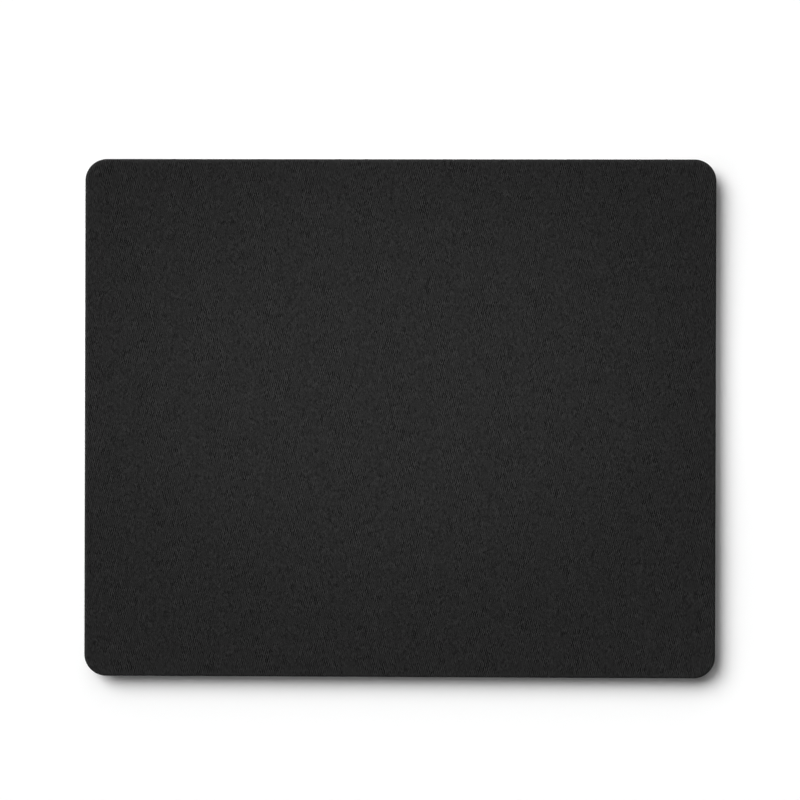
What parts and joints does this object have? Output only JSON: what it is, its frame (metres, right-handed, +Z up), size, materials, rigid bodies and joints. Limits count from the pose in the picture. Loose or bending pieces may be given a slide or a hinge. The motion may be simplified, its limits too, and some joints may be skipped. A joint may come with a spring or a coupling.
{
  "type": "mouse pad",
  "caption": "Thin rectangular mouse pad with round corners: knitted cloth bonded to a sponge rubber core over a grooved rubber grip layer.",
  "frame": {"origin": "middle of the underside, on the surface the pad lies on", "axes": "+X along the long side, +Y towards the far long edge, +Z up out of the cloth"},
  "size_m": [0.223, 0.183, 0.006],
  "materials": {
    "knitted_cloth": "black knitted polyester with fine upright wales, matte",
    "hot_melt_film": "smoke-coloured adhesive film, seen only as a hairline in the cut edge",
    "sponge_rubber": "black open-pored cut sponge, dull",
    "moulded_rubber": "black moulded rubber with zigzag grooves, matte with a faint bloom"
  },
  "bodies": {
    "root": {"cloth_face": "knitted_cloth", "bond_film": "hot_melt_film", "foam_core": "sponge_rubber", "grip_base": "moulded_rubber"}
  },
  "joints": []
}
